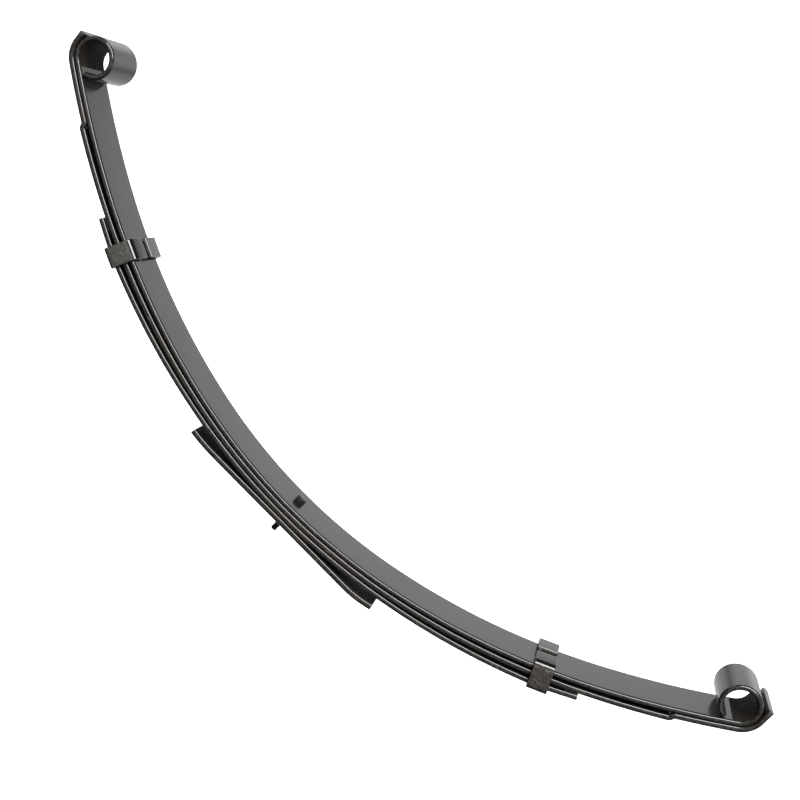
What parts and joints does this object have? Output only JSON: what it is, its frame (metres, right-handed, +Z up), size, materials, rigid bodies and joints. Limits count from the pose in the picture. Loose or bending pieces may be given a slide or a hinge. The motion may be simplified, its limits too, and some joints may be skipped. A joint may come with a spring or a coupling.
{
  "type": "leaf spring",
  "caption": "Semi-elliptic suspension leaf spring with up-turned eyes, wrapped second leaf, riveted rebound clips, flat overload leaf and centre bolt.",
  "frame": {"origin": "in the flat underside of the overload leaf, under the middle of the arch and 5.5 mm ahead of the centre bolt's axis", "axes": "+X along the spring towards its rear eye, +Y across the leaves, +Z up, towards the hollow side of the arch and the eyes"},
  "size_m": [1.1244, 0.0754, 0.2998],
  "materials": {
    "leaf_paint": "satin",
    "clip_paint": "satin",
    "bolt_finish": "gloss",
    "rivet_finish": "satin",
    "pad_plastic": "matte"
  },
  "bodies": {
    "seat": {"main_leaf_center": "leaf_paint", "second_leaf_center": "leaf_paint", "third_leaf_center": "leaf_paint", "overload_leaf": "leaf_paint", "center_bolt": "bolt_finish", "center_nut": "bolt_finish"},
    "front_arm": {"main_leaf_front": "leaf_paint", "second_leaf_front": "leaf_paint", "third_leaf_front": "leaf_paint", "clip_front": "clip_paint", "clip_rivet_front": "rivet_finish", "tip_pad_front": "pad_plastic"},
    "rear_arm": {"main_leaf_rear": "leaf_paint", "second_leaf_rear": "leaf_paint", "third_leaf_rear": "leaf_paint", "clip_rear": "clip_paint", "clip_rivet_rear": "rivet_finish", "tip_pad_rear": "pad_plastic"}
  },
  "joints": [
    {"name": "front_flex", "type": "hinge", "parent": "seat", "child": "front_arm", "pos_m": [-0.15343, 0, 0.02177], "axis": [0, -1, 0], "range_deg": [-2, 20], "stiffness_Nm_per_rad": 2000},
    {"name": "rear_flex", "type": "hinge", "parent": "seat", "child": "rear_arm", "pos_m": [0.15343, 0, 0.02177], "axis": [0, 1, 0], "range_deg": [-2, 20], "stiffness_Nm_per_rad": 2000}
  ]
}
